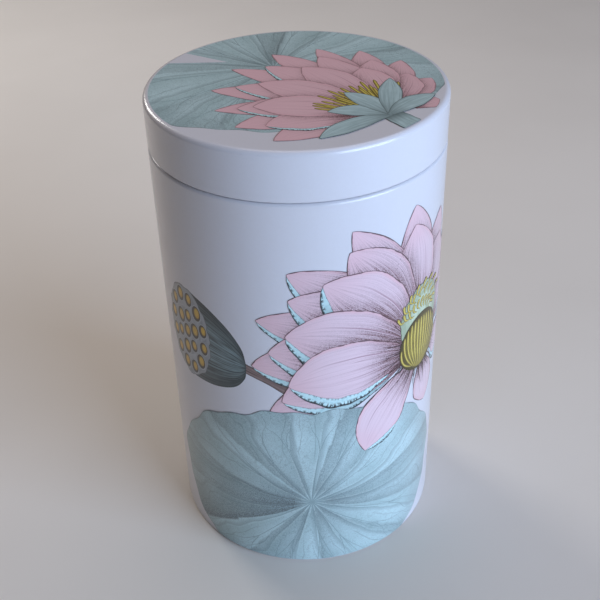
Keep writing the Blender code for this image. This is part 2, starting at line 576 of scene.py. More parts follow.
@dataclass(frozen=True)
class TurnedMetal(Finish):
    """The knob and rivet: nickel-plated, with turning marks round their axis."""

    name: str = "turned_metal"
    colour: Colour = (0.70, 0.68, 0.64)
    worn: Colour = (0.48, 0.45, 0.40)

    def fill(self, recipe: Recipe) -> None:
        """Gives the shader its colour and gloss.

        Args:
            recipe: the material.
        """
        place = recipe.place()
        x, y, z = recipe.axes(place)
        radius = (x * x + y * y) ** 0.5
        rings = ((radius + z) * 26000.0).sine() * 0.5 + 0.5
        smudge = recipe.noise(place, 260.0, 4.0)
        colour = recipe.mix(self.colour, self.worn, smudge.ramp(0.45, 0.8) * 0.6)
        rough = 0.18 + rings * 0.06 + smudge.ramp(0.4, 0.8) * 0.12
        recipe.set(Base_Color=colour, Metallic=1.0, Roughness=rough)
        recipe.set(Normal=recipe.bump(rings, 0.000008, 0.4))


@dataclass(frozen=True)
class Compound(Finish):
    """Sealing compound: a dull grey-brown rubbery bead."""

    name: str = "sealing_compound"
    colour: Colour = (0.20, 0.18, 0.16)
    dusty: Colour = (0.31, 0.29, 0.26)

    def fill(self, recipe: Recipe) -> None:
        """Gives the shader its colour and gloss.

        Args:
            recipe: the material.
        """
        lumps = recipe.noise(recipe.place(), 420.0, 4.0)
        colour = recipe.mix(self.colour, self.dusty, lumps.ramp(0.35, 0.7))
        recipe.set(Base_Color=colour, Roughness=lumps.ramp(0.3, 0.7, 0.55, 0.8))
        recipe.set(Normal=recipe.bump(lumps, 0.0001, 0.6))


@dataclass(frozen=True)
class StudioFloor(Finish):
    """The plain pale floor."""

    name: str = "studio_floor"
    colour: Colour = (0.80, 0.76, 0.71)
    deeper: Colour = (0.76, 0.72, 0.67)

    def fill(self, recipe: Recipe) -> None:
        """Gives the shader its colour and gloss.

        Args:
            recipe: the material.
        """
        cloud = recipe.noise(recipe.place(), 6.0, 3.0)
        recipe.set(Base_Color=recipe.mix(self.colour, self.deeper, cloud.ramp(0.3, 0.8)))
        recipe.set(Roughness=0.7, Specular_IOR_Level=0.1)


class Finishes:
    """Every material, made once and then shared."""

    def __init__(self) -> None:
        """Starts with none made."""
        self._made: dict[str, bpy.types.Material] = {}

    def get(self, finish: Finish) -> bpy.types.Material:
        """Finds the material of a finish, or makes it the first time.

        Args:
            finish: the finish.

        Returns:
            Its material.
        """
        if finish.name not in self._made:
            self._made[finish.name] = finish.make()
        return self._made[finish.name]


FINISHES = Finishes()


# ------------------------------------------------------------- modelling tools


class Cap(Enum):
    """How the first ring of a turned shape is closed."""

    OPEN = "NOTHING"
    DISC = "TRIFAN"


def clear_selection() -> None:
    """Leaves nothing selected."""
    for chosen in list(bpy.context.selected_objects):
        chosen.select_set(False)


def polar(middle: Point, reach: float, turn: float) -> Point:
    """The point at a distance from a middle, in a direction in radians."""
    return middle[0] + reach * math.cos(turn), middle[1] + reach * math.sin(turn)


def arc(middle: Point, radius: float, start: float, end: float, pieces: int) -> list[Point]:
    """Points on an arc.

    Args:
        middle: its centre.
        radius: its radius.
        start: the first angle, in degrees.
        end: the last angle, in degrees.
        pieces: how many chords it has.

    Returns:
        The points, both ends included.
    """
    angles = np.radians(np.linspace(start, end, pieces + 1))
    return [polar(middle, radius, angle) for angle in angles]


def pressed_ring(radius: float, rise: float, level: float) -> list[Point]:
    """The section of a ring pressed up into a flat plate.

    Args:
        radius: the radius of the ring's middle.
        rise: how high it stands.
        level: the height of the plate.

    Returns:
        The points, from the inner side outwards.
    """
    return [
        (radius - 2 * rise, level),
        (radius - rise, level + rise),
        (radius + rise, level + rise),
        (radius + 2 * rise, level),
    ]


class Bench:
    """A piece being shaped in edit mode."""

    SIDES = 192
    CLOSE = 0.000002

    def __init__(self, name: str, first: Point, cap: Cap, sides: int = SIDES) -> None:
        """Adds a ring about the Z axis and opens it in edit mode.

        Args:
            name: the piece's name.
            first: the ring's radius and height.
            cap: whether the ring is filled.
            sides: how many points the ring has.
        """
        clear_selection()
        self.radius, self.height = first
        bpy.ops.mesh.primitive_circle_add(
            vertices=sides,
            radius=self.radius,
            fill_type=cap.value,
            location=(0.0, 0.0, self.height),
        )
        self.piece = bpy.context.object
        self.piece.name = name
        bpy.ops.object.transform_apply(location=True, rotation=True, scale=True)
        bpy.ops.object.mode_set(mode="EDIT")
        self.choose_ring()

    def choose_ring(self) -> None:
        """Selects only the edges of the last ring."""
        shape = bmesh.from_edit_mesh(self.piece.data)
        ring = set()
        for point in shape.verts:
            out = math.hypot(point.co.x, point.co.y)
            near = abs(out - self.radius) < self.CLOSE
            if near and abs(point.co.z - self.height) < self.CLOSE:
                ring.add(point)
        for part in [*shape.faces, *shape.edges, *shape.verts]:
            part.select = False
        for edge in shape.edges:
            if ring.issuperset(edge.verts):
                edge.select = True
        bmesh.update_edit_mesh(self.piece.data)

    def pull(self, outline: Iterable[Point]) -> "Bench":
        """Extrudes the last ring along an outline.

        Args:
            outline: the radius and height of each new ring.

        Returns:
            The bench.
        """
        for radius, height in outline:
            rise = height - self.height
            bpy.ops.mesh.extrude_region_move(TRANSFORM_OT_translate={"value": (0, 0, rise)})
            share = radius / self.radius
            centre = (0.0, 0.0, height)
            bpy.ops.transform.resize(value=(share, share, 1.0), center_override=centre)
            self.radius, self.height = radius, height
        return self

    def close_ring(self) -> "Bench":
        """Fills the last ring with a fan.

        Returns:
            The bench.
        """
        bpy.ops.mesh.extrude_region_move(TRANSFORM_OT_translate={"value": (0, 0, 0)})
        bpy.ops.mesh.merge(type="CENTER")
        return self

    def leave(self, sheet: float, *finishes: Finish) -> bpy.types.Object:
        """Ends editing, and turns the shape into a finished solid.

        Args:
            sheet: thickness to give it inwards, or 0 for a shape that is closed already.
            *finishes: its finish, then that of its inner face where it is another.

        Returns:
            The piece.
        """
        bpy.ops.mesh.select_all(action="SELECT")
        bpy.ops.mesh.remove_doubles(threshold=self.CLOSE)
        bpy.ops.mesh.normals_make_consistent(inside=False)
        bpy.ops.object.mode_set(mode="OBJECT")
        for finish in finishes:
            self.piece.data.materials.append(FINISHES.get(finish))
        if sheet:
            wall = self.piece.modifiers.new("sheet", "SOLIDIFY")
            wall.thickness = sheet
            wall.offset = -1.0
            wall.use_even_offset = True
            wall.material_offset = len(finishes) - 1
            bpy.ops.object.modifier_apply(modifier=wall.name)
        even_shading(self.piece)
        return self.piece


def even_shading(piece: bpy.types.Object) -> None:
    """Shades a piece smooth, with flat faces kept flat beside rounded ones.

    Args:
        piece: the active, selected piece.
    """
    bpy.ops.object.shade_smooth_by_angle(angle=SMOOTH_ANGLE)
    weighted = piece.modifiers.new("weighted", "WEIGHTED_NORMAL")
    weighted.keep_sharp = True
    bpy.ops.object.modifier_apply(modifier=weighted.name)


def dress(piece: bpy.types.Object, finish: Finish) -> None:
    """Gives a piece one material.

    Args:
        piece: the piece, or a CAD node.
        finish: what it is finished with.
    """
    material = FINISHES.get(finish)
    if not piece.material_slots:
        piece.data.materials.append(material)
    for slot in piece.material_slots:
        slot.material = material


def hand_over(piece: bpy.types.Object, body: str, slot: str, *nodes: str) -> None:
    """Fits a finished piece to the frame.

    Args:
        piece: the piece.
        body: the CAD body that it moves with.
        slot: the record's material slot; not used.
        *nodes: CAD nodes that it stands for.
    """
    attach(piece, body)
    if nodes:
        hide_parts(*nodes)
    log.info("%s on %s: %d faces", piece.name, body, len(piece.data.polygons))


# ---------------------------------------------------------- the tin's own pieces

SHEET = 0.0003
GAP = 0.0003


@dataclass
class Can:
    """The fixed part of the tin: wall, side seam, inner sleeve and base."""

    roll_radius: float = 0.0013
    roll_lip: float = 0.0002
    foot_edge: float = 0.0006
    foot_flange: float = 0.0034
    neck_hem: float = 0.0006
    sleeve_slope: float = 0.0022
    base_edge: float = 0.0022
    base_lip: float = 0.0020
    panel_ring: float = 0.0400
    ring_step: float = 0.0007
    seam_angle: float = 108.0
    seam_width: float = 0.0042
    seam_rise: float = 0.00012
    seam_cuts: int = 7

    def __post_init__(self) -> None:
        """Reads the sizes that the frame gives."""
        _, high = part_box("body_wall")
        self.radius = high.x
        self.top = high.z
        sleeve_low, sleeve_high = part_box("neck_sleeve")
        self.sleeve_radius = sleeve_high.x
        self.sleeve_bottom = sleeve_low.z
        self.neck_top = sleeve_high.z
        self.neck_radius = self.radius - self.roll_radius - self.roll_lip - GAP
        self.base_low, self.base_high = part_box("base_plate")

    def wall(self) -> bpy.types.Object:
        """Makes the cylinder with its rolled top edge and flat foot.

        Returns:
            The piece.
        """
        middle = self.radius - self.roll_radius
        mouth = (middle - self.roll_lip, self.top)
        roll = arc((middle, self.top - self.roll_radius), self.roll_radius, 90, 0, 8)
        foot_middle = (self.radius - self.foot_edge, self.foot_edge)
        foot = arc(foot_middle, self.foot_edge, 0, -90, 5)
        sides = [(self.radius, z) for z in np.linspace(self.top, 0, 9)[1:-1]]
        flange = (self.radius - self.foot_flange, 0.0)
        bench = Bench("printed_wall", mouth, Cap.OPEN)
        shape = bench.pull([*roll, *sides, *foot, flange])
        return shape.leave(SHEET, WhiteGround(), Tinplate())

    def side_seam(self) -> bpy.types.Object:
        """Makes the lap of the sheet where the wall is joined, down its far side.

        Returns:
            The piece.
        """
        low = self.foot_edge * 2
        high = self.top - 1.5 * self.roll_radius
        clear_selection()
        bpy.ops.mesh.primitive_cube_add(size=1.0, location=(0.0, 0.0, (low + high) / 2))
        strip = bpy.context.object
        strip.name = "side_seam"
        strip.scale = (self.seam_width, self.seam_rise, high - low)
        bpy.ops.object.transform_apply(location=True, rotation=True, scale=True)
        bpy.ops.object.mode_set(mode="EDIT")
        bpy.ops.mesh.select_all(action="SELECT")
        bpy.ops.mesh.subdivide(number_cuts=self.seam_cuts)
        bpy.ops.object.mode_set(mode="OBJECT")
        turn = Matrix.Rotation(math.radians(self.seam_angle), 4, "Z")
        for point in strip.data.vertices:
            angle = point.co.x / self.radius
            out = self.radius + 0.5 * self.seam_rise - point.co.y
            place = Vector((out * math.sin(angle), -out * math.cos(angle), point.co.z))
            point.co = turn @ place
        soft = strip.modifiers.new("soft", "BEVEL")
        soft.width = self.seam_rise * 0.4
        soft.segments = 2
        bpy.ops.object.modifier_apply(modifier=soft.name)
        even_shading(strip)
        return strip

    def sleeve(self) -> bpy.types.Object:
        """Makes the inner sleeve, with its rolled rim and its wide lower part.

        Returns:
            The piece.
        """
        hem_middle = (self.neck_radius - self.neck_hem, self.neck_top - self.neck_hem)
        rim = arc(hem_middle, self.neck_hem, 180, 0, 10)
        shoulder = self.top - self.roll_radius
        bench = Bench("inner_sleeve", rim[0], Cap.OPEN)
        lower = [
            (self.neck_radius, shoulder),
            (self.sleeve_radius, shoulder - self.sleeve_slope),
            (self.sleeve_radius, self.sleeve_bottom),
        ]
        return bench.pull([*rim[1:], *lower]).leave(SHEET, Tinplate())

    def base(self) -> bpy.types.Object:
        """Makes the recessed bottom plate with its pressed ring.

        Returns:
            The piece.
        """
        edge_radius = self.base_high.x
        top = self.base_high.z - self.ring_step
        low = self.base_low.z
        corner_middle = (edge_radius - self.base_edge, top - self.base_edge)
        corner = arc(corner_middle, self.base_edge, 90, 0, 8)
        ring = pressed_ring(self.panel_ring, self.ring_step, top)
        rim = [(edge_radius, low), (edge_radius - self.base_lip, low)]
        bench = Bench("base_panel", (self.panel_ring / 3, top), Cap.DISC)
        return bench.pull([*ring, *corner, *rim]).leave(SHEET, Tinplate())

    def build(self, nodes: dict[str, bpy.types.Object]) -> None:
        """Makes and dresses every fixed piece.

        Args:
            nodes: the CAD nodes.
        """
        hand_over(self.wall(), "tin", "printed_wall", "body_wall")
        seam = self.side_seam()
        dress(seam, WhiteGround())
        hand_over(seam, "tin", "printed_wall")
        hand_over(self.sleeve(), "tin", "bare_tinplate", "neck_sleeve")
        hand_over(self.base(), "tin", "bare_tinplate", "base_plate")
        dress(nodes["base_seal"], Compound())


@dataclass
class SlipLid:
    """The outer lid: a flat top, a rounded edge, a skirt and a rolled hem."""

    edge_radius: float = 0.0019
    top_rings: tuple[float, ...] = (0.25, 0.5, 0.75, 0.97)

    def __post_init__(self) -> None:
        """Reads the sizes that the frame gives."""
        low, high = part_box("lid_shell")
        self.radius = high.x
        self.top = high.z
        self.joint = low.z

    def shell(self, neck_radius: float) -> bpy.types.Object:
        """Makes the lid.

        Args:
            neck_radius: the radius of the neck that its hem slides on.

        Returns:
            The lid.
        """
        hem_radius = (self.radius - neck_radius - GAP) / 2
        flat = self.radius - self.edge_radius
        middle = (flat, self.top - self.edge_radius)
        edge = arc(middle, self.edge_radius, 90, 0, 10)
        hem = arc((self.radius - hem_radius, self.joint + hem_radius), hem_radius, 0, -180, 12)
        first, *rings = [(flat * share, self.top) for share in self.top_rings]
        sides = [(self.radius, z) for z in np.linspace(edge[-1][1], hem[0][1], 4)[1:-1]]
        bench = Bench("printed_lid", first, Cap.DISC)
        shape = bench.pull([*rings, *edge, *sides, *hem])
        return shape.leave(SHEET, WhiteGround(), Tinplate())

    def build(self, neck_radius: float) -> None:
        """Makes and dresses the lid.

        Args:
            neck_radius: the radius of the neck.
        """
        hand_over(self.shell(neck_radius), "lid", "printed_lid", "lid_shell")


@dataclass
class PlugLid:
    """The inner lid, its knob and its rivet."""

    corner: float = 0.0014
    bead_radius: float = 0.0340
    bead_height: float = 0.0008
    rivet_hole: float = 0.0016
    rivet_depth: float = 0.0045
    knob_waist: float = 0.0046
    waist_height: float = 0.0030
    waist_bend: float = 0.0010
    knob_foot: float = 0.0060
    knob_foot_height: float = 0.0009
    knob_foot_edge: float = 0.0001
    knob_sides: int = 96
    knob_centre: float = 0.3
    groove: tuple[float, ...] = (0.62, 0.66, 0.72, 0.76)
    groove_depth: float = 0.00025
    plug_depth: float = 0.0080

    def __post_init__(self) -> None:
        """Reads the sizes that the frame gives."""
        _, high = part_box("inner_lid")
        self.top = high.z
        self.flange_radius = high.x
        self.panel = self.top - self.plug_depth
        self.knob_low, self.knob_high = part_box("inner_lid_knob")

    def plate(self, mouth_radius: float) -> bpy.types.Object:
        """Makes the pressed plate, with its plug, ring and flange.

        Args:
            mouth_radius: the clear radius of the sleeve's rim.

        Returns:
            The plate.
        """
        inside = mouth_radius - GAP - SHEET
        corner = self.corner - SHEET
        bead = pressed_ring(self.bead_radius, self.bead_height, self.panel)
        foot = arc((inside - corner, self.panel + corner), corner, -90, 0, 8)
        lip = arc((inside + SHEET, self.top - SHEET), SHEET, 180, 90, 4)
        bench = Bench("plug_lid", (self.rivet_hole, self.panel), Cap.OPEN)
        bench.pull([(self.knob_foot * 1.2, self.panel), *bead, *foot, *lip])
        return bench.pull([(self.flange_radius, self.top)]).leave(SHEET, Tinplate())

    def knob(self) -> bpy.types.Object:
        """Makes the knob: a foot, a waist and a domed, ringed top.

        Returns:
            The piece.
        """
        radius = self.knob_high.x
        foot, top = self.knob_low.z, self.knob_high.z
        height = top - foot
        crown = (height - self.knob_foot_height) / 3
        cap = arc((radius - crown / 2, top - crown / 2), crown / 2, 90, -90, 12)
        levels = (top, top - self.groove_depth, top - self.groove_depth, top)
        groove = [(radius * share, level) for share, level in zip(self.groove, levels)]
        neck_middle = (self.knob_waist + self.waist_bend, foot + self.waist_height)
        neck = arc(neck_middle, self.waist_bend, 130, 230, 8)
        base = [
            (self.knob_foot, foot + self.knob_foot_height),
            (self.knob_foot, foot + self.knob_foot_edge),
            (self.knob_foot - self.knob_foot_edge, foot),
            (self.rivet_hole, foot),
            (self.rivet_hole, foot + self.rivet_depth),
        ]
        middle = (radius * self.knob_centre, top)
        bench = Bench("plug_knob", middle, Cap.DISC, self.knob_sides)
        bench.pull([*groove, *cap, *neck, *base]).close_ring()
        return bench.leave(0.0, TurnedMetal())

    def build(self, nodes: dict[str, bpy.types.Object], mouth_radius: float) -> None:
        """Makes and dresses the pieces of the plug lid.

        Args:
            nodes: the CAD nodes.
            mouth_radius: the clear radius of the sleeve's rim.
        """
        hand_over(self.plate(mouth_radius), "plug", "bare_tinplate", "inner_lid")
        hand_over(self.knob(), "plug", "turned_metal", "inner_lid_knob")
        dress(nodes["knob_rivet"], TurnedMetal())


# --------------------------------------------------------- the printed design


def eased(values: np.ndarray, start: float, end: float) -> np.ndarray:
    """A smooth step.

    Args:
        values: the numbers to look at.
        start: where it is 0.
        end: where it is 1.

    Returns:
        The step at each value.
    """
    share = np.clip((values - start) / (end - start), 0.0, 1.0)
    return share * share * (3.0 - 2.0 * share)


def curve(points: Sequence[Point], along: np.ndarray) -> np.ndarray:
    """Places on a smooth curve through points.

    Args:
        points: the points that it goes through.
        along: shares of the way along it.

    Returns:
        One row for each share.
    """
    marks = np.array(points, float)
    marks = np.vstack([2 * marks[0] - marks[1], marks, 2 * marks[-1] - marks[-2]])
    reach = np.clip(along, 0.0, 1.0) * (len(points) - 1)
    step = np.minimum(reach.astype(int), len(points) - 2)
    t = (reach - step)[:, None]
    a, b, c, d = (marks[step + k] for k in range(4))
    bend = (2 * a - 5 * b + 4 * c - d) * t**2 + (3 * b - a - 3 * c + d) * t**3
    return 0.5 * (2 * b + (c - a) * t + bend)


def leftwards(way: np.ndarray) -> np.ndarray:
    """Steps of length 1 to the left of some directions, one for each row."""
    way = way / np.linalg.norm(way, axis=1)[:, None]
    return np.stack([-way[:, 1], way[:, 0]], axis=1)


class Side(Enum):
    """Sides of a petal, looking from its foot to its tip."""

    LEFT = 1.0
    RIGHT = -1.0


@dataclass(frozen=True)
class Shape:
    """A printed shape, laid out flat in millimetres.

    Its film has a number of cells across and along it. Dark is its shade and ink the strength of
    its outline, both from 0 to 1.
    """

    name: str
    cells: tuple[int, int] = field(default=(16, 60), kw_only=True)
    dark: float = field(default=0.0, kw_only=True)
    ink: float = field(default=0.6, kw_only=True)

    def spacing(self, along: np.ndarray) -> np.ndarray:
        """Spreads the rows of points along the shape."""
        return along

    def spot(self, across: np.ndarray, along: np.ndarray) -> np.ndarray:
        """The place of each point.

        Args:
            across: shares of the way across, from the right edge to the left one.
            along: shares of the way from foot to tip.

        Returns:
            A row for each point.
        """
        raise NotImplementedError

    def looks(self, across: np.ndarray, along: np.ndarray) -> dict[str, np.ndarray]:
        """What the inks need to know at each point.

        Args:
            across: shares of the way across.
            along: shares of the way along.

        Returns:
            Numbers by attribute name.
        """
        even = np.ones_like(along)
        return {"margin": 9.0 * even, "shade": self.dark * even, "line": self.ink * even}


@dataclass(frozen=True)
class Petal(Shape):
    """A petal: a bent spine with a width that swells and then narrows to a tip.

    The spine bows to its left. Neck is the share of the width that it starts with, and belly the
    share of the length at which it is widest. A smaller point makes a blunter tip. Left, right
    and root darken its sides and its foot.
    """

    foot: Point
    tip: Point
    width: float
    bow: float = 0.0
    neck: float = 0.3
    belly: float = 0.56
    point: float = 0.8
    left: float = 0.0
    right: float = 0.0
    root: float = 0.75
    root_reach: float = 0.5

    def spacing(self, along: np.ndarray) -> np.ndarray:
        """Spreads the rows of points, closer at the tip."""
        return 1.0 - (1.0 - along) ** 1.6

    def spine(self, along: np.ndarray) -> tuple[np.ndarray, np.ndarray]:
        """The middle line.

        Args:
            along: shares of the way along it.

        Returns:
            Its places, and the directions to its left.
        """
        foot, tip = np.array(self.foot), np.array(self.tip)
        way = tip - foot
        left = np.array((-way[1], way[0])) / np.linalg.norm(way)
        middle = (foot + tip) / 2 + 2 * self.bow * left
        t = along[:, None]
        place = (1 - t) ** 2 * foot + 2 * t * (1 - t) * middle + t**2 * tip
        return place, leftwards((1 - t) * (middle - foot) + t * (tip - middle))

    def half(self, along: np.ndarray) -> np.ndarray:
        """Half the width.

        Args:
            along: shares of the length.

        Returns:
            Half the width at each share.
        """
        swell = self.neck + (1 - self.neck) * np.sin(
            math.pi / 2 * np.minimum(along / self.belly, 1.0)
        )
        fall = np.clip((along - self.belly) / (1 - self.belly), 0.0, 1.0)
        wave = 1.0 + 0.018 * np.sin(19.0 * along + self.tip[0])
        return self.width / 2 * swell * np.cos(math.pi / 2 * fall) ** self.point * wave

    def spot(self, across: np.ndarray, along: np.ndarray) -> np.ndarray:
        """The place of each point.

        Args:
            across: shares of the way across.
            along: shares of the way along.

        Returns:
            A row for each point.
        """
        place, left = self.spine(along)
        return place + left * ((2 * across - 1) * self.half(along))[:, None]

    def looks(self, across: np.ndarray, along: np.ndarray) -> dict[str, np.ndarray]:
        """Outline, dark foot and dark sides.

        Args:
            across: shares of the way across.
            along: shares of the way along.

        Returns:
            Numbers by attribute name.
        """
        turn = 2 * across - 1
        side = np.where(turn > 0, self.left, self.right) * eased(np.abs(turn), 0.15, 1.0) ** 1.5
        foot = self.root * (1 - eased(along, 0.0, self.root_reach)) ** 1.3
        near = (1 - np.abs(turn)) * self.half(along)
        deep = np.where(turn > 0, self.left, self.right)
        line = np.maximum(self.ink, deep) * np.ones_like(along)
        return {"margin": near, "shade": 1 - (1 - side) * (1 - foot), "line": line}


@dataclass(frozen=True)
class RolledEdge(Shape):
    """The edge of a petal that is rolled over, and shows the other face.

    It runs from start to stop, shares of the petal's length, and grows wider on the way. Inside
    is the share of its width that lies over the petal.
    """

    petal: Petal
    side: Side
    start: float
    stop: float
    width: float
    grow: float = 0.0
    inside: float = 0.35
    step: float = 0.004
    cells: tuple[int, int] = field(default=(8, 60), kw_only=True)

    def wide(self, along: np.ndarray) -> np.ndarray:
        """Its width.

        Args:
            along: shares of its length.

        Returns:
            The width at each share.
        """
        swell = np.sin(math.pi * np.clip(along, 0.0, 1.0)) ** 0.55
        ripple = 1.0 + 0.10 * np.sin(31.0 * along + self.petal.tip[1])
        return self.width * (1 + self.grow * (along - 0.5)) * swell * ripple

    def spot(self, across: np.ndarray, along: np.ndarray) -> np.ndarray:
        """The place of each point.

        Args:
            across: shares of the way across.
            along: shares of the way along.

        Returns:
            A row for each point.
        """
        reach = self.start + (self.stop - self.start) * along
        edge = np.full_like(reach, 0.5 + self.side.value / 2)
        place = self.petal.spot(edge, reach)
        ahead = self.petal.spot(edge, np.minimum(reach + self.step, 1.0))
        behind = self.petal.spot(edge, np.maximum(reach - self.step, 0.0))
        out = leftwards(ahead - behind) * self.side.value
        return place + out * ((across - self.inside) * self.wide(along))[:, None]

    def looks(self, across: np.ndarray, along: np.ndarray) -> dict[str, np.ndarray]:
        """Its outline.

        Args:
            across: shares of the way across.
            along: shares of the way along.

        Returns:
            Numbers by attribute name.
        """
        looks = super().looks(across, along)
        looks["margin"] = np.minimum(across * 1.6, 1 - across) * self.wide(along)
        return looks


@dataclass(frozen=True)
class Swath(Shape):
    """A shape between two curves."""

    right: tuple[Point, ...]
    left: tuple[Point, ...]
    root: float = 0.0

    def spot(self, across: np.ndarray, along: np.ndarray) -> np.ndarray:
        """The place of each point.

        Args:
            across: shares of the way across.
            along: shares of the way along.

        Returns:
            A row for each point.
        """
        share = across[:, None]
        return curve(self.right, along) * (1 - share) + curve(self.left, along) * share

    def looks(self, across: np.ndarray, along: np.ndarray) -> dict[str, np.ndarray]:
        """Outline and shading towards the foot and the edges.

        Args:
            across: shares of the way across.
            along: shares of the way along.

        Returns:
            Numbers by attribute name.
        """
        looks = super().looks(across, along)
        gap = np.linalg.norm(curve(self.right, along) - curve(self.left, along), axis=1)
        edge = np.minimum(across, 1 - across)
        looks["margin"] = edge * gap
        foot = self.root * (1 - eased(along, 0.0, 0.5))
        looks["shade"] = 1 - (1 - self.dark * (1 - eased(edge, 0.0, 0.4))) * (1 - foot)
        return looks


@dataclass(frozen=True)
class Stroke(Shape):
    """A thin line that thins out towards its ends."""

    points: tuple[Point, ...]
    width: float
    step: float = 0.01
    cells: tuple[int, int] = field(default=(2, 36), kw_only=True)

    def spot(self, across: np.ndarray, along: np.ndarray) -> np.ndarray:
        """The place of each point.

        Args:
            across: shares of the way across.
            along: shares of the way along.

        Returns:
            A row for each point.
        """
        place = curve(self.points, along)
        ahead, behind = curve(self.points, along + self.step), curve(self.points, along - self.step)
        out = leftwards(ahead - behind)
        thin = self.width * (1 - along) ** 0.7 * np.minimum(1.0, 0.3 + 8 * along)
        return place + out * ((across - 0.5) * thin)[:, None]


@dataclass(frozen=True)
class Blot(Shape):
    """A rounded shape, given by its radius in a few directions."""

    middle: Point
    radii: tuple[Point, ...]
    ripple: float = 0.0
    cells: tuple[int, int] = field(default=(12, 72), kw_only=True)

    def radius(self, turn: np.ndarray) -> np.ndarray:
        """The radius in each direction.

        Args:
            turn: shares of a full turn.

        Returns:
            The radii.
        """
        grid = np.arange(360.0)
        angles, radii = zip(*self.radii)
        rough = np.interp(grid, angles, radii, period=360.0)
        window = np.hanning(21)
        smooth = np.convolve(np.concatenate([rough[-10:], rough, rough[:10]]), window, "valid")
        smooth = smooth / window.sum()
        waves = np.sin(11 * turn * FULL_TURN) + 0.6 * np.sin(23 * turn * FULL_TURN + 1.0)
        return np.interp(turn * 360.0, grid, smooth, period=360.0) + self.ripple * waves

    def spot(self, across: np.ndarray, along: np.ndarray) -> np.ndarray:
        """The place of each point.

        Args:
            across: shares of the way across.
            along: shares of the way along.

        Returns:
            A row for each point.
        """
        reach = self.radius(along) * across
        turn = along * FULL_TURN
        middle = np.array(self.middle)
        return middle + np.stack([reach * np.cos(turn), reach * np.sin(turn)], axis=1)

    def looks(self, across: np.ndarray, along: np.ndarray) -> dict[str, np.ndarray]:
        """Outline, distance from the middle and shading near the rim.

        Args:
            across: shares of the way across.
            along: shares of the way along.

        Returns:
            Numbers by attribute name.
        """
        looks = super().looks(across, along)
        looks["reach"] = self.radius(along) * across
        looks["margin"] = self.radius(along) * (1 - across)
        looks["shade"] = self.dark * eased(across, 0.45, 1.0)
        return looks


@dataclass(frozen=True)
class Fold:
    """A fold of the leaf, dark on one side.

    Its angle and bend are in degrees. Its shade spreads over a few millimetres, to the other side
    where the spread is below 0.
    """

    angle: float
    depth: float
    spread: float
    bend: float = 0.0


@dataclass(frozen=True)
class Leaf(Blot):
    """A lotus leaf seen from above."""

    folds: tuple[Fold, ...] = ()
    cells: tuple[int, int] = field(default=(60, 280), kw_only=True)

    def looks(self, across: np.ndarray, along: np.ndarray) -> dict[str, np.ndarray]:
        """Outline, distance from the middle, and folds.

        Args:
            across: shares of the way across.
            along: shares of the way along.

        Returns:
            Numbers by attribute name.
        """
        looks = super().looks(across, along)
        reach = looks["reach"]
        shade = self.dark * eased(across, 0.7, 1.0) * 0.5
        for fold in self.folds:
            angle = np.radians(fold.angle + fold.bend * reach / 60.0)
            apart = along * FULL_TURN - angle
            apart = (apart + math.pi) % FULL_TURN - math.pi
            off = reach * np.sin(np.clip(apart, -math.pi / 2, math.pi / 2)) / fold.spread
            part = fold.depth * np.exp(-np.abs(off)) * (off > 0) * (np.abs(apart) < 1.2)
            shade = 1 - (1 - shade) * (1 - part * eased(reach, 0.0, 9.0))
        looks["shade"] = shade
        return looks

    def at(self, angle: float, share: float) -> Point:
        """The point in a direction in degrees, at a share of the way to the rim."""
        place = self.spot(np.array([share]), np.array([(angle / 360.0) % 1.0]))[0]
        return float(place[0]), float(place[1])

    def forked_veins(self, first: float, count: int, width: float) -> list[Stroke]:
        """Fine lines that run from the middle and fork towards the rim.

        Args:
            first: the angle of the first line, in degrees.
            count: how many lines there are.
            width: how wide they start, in millimetres.

        Returns:
            The lines.
        """
        lines = []
        for number in range(count):
            angle = first + 360.0 * number / count + 5.0 * math.sin(7.0 * number)
            sway = 4.0 * math.sin(3.0 * number + 1.0)
            fork = 0.50 + 0.12 * math.sin(5.0 * number)
            shares = (0.03, fork * 0.6, fork, 0.8)
            stem = tuple(self.at(angle + sway * share, share) for share in shares)
            lines.append(Stroke("vein", stem, width, cells=(2, 30)))
            start = angle + sway * 0.8
            ways = ((0.0, fork), (2.6, fork + 0.14), (6.5, 0.84), (8.0, 0.96))
            for side in (-1.0, 1.0):
                twig = tuple(self.at(start + side * turn, share) for turn, share in ways)
                lines.append(Stroke("twig", twig, width * 0.75, cells=(2, 20)))
        return lines


def oval(wide: float, high: float) -> tuple[Point, ...]:
    """The radii of an oval.

    Args:
        wide: half its width.
        high: half its height.

    Returns:
        The radius in each of many directions, in degrees.
    """
    radii = []
    for angle in range(0, 360, 15):
        turn = math.radians(angle)
        flat = math.hypot(high * math.cos(turn), wide * math.sin(turn))
        radii.append((float(angle), wide * high / flat))
    return tuple(radii)


def folds_round(count: int, first: float, depth: float) -> tuple[Fold, ...]:
    """Soft folds spread round a leaf.

    Args:
        count: how many there are.
        first: the angle of the first, in degrees.
        depth: how dark they are on average.

    Returns:
        The folds.
    """
    folds = []
    for number in range(count):
        angle = first + 360.0 * number / count + 5.0 * math.sin(4.0 * number)
        side = 6.0 if number % 2 else -6.5
        dark = depth * (1 + 0.45 * math.sin(3.0 * number + 1.0))
        folds.append(Fold(angle, dark, side, 8.0 * math.sin(2.0 * number)))
    return tuple(folds)


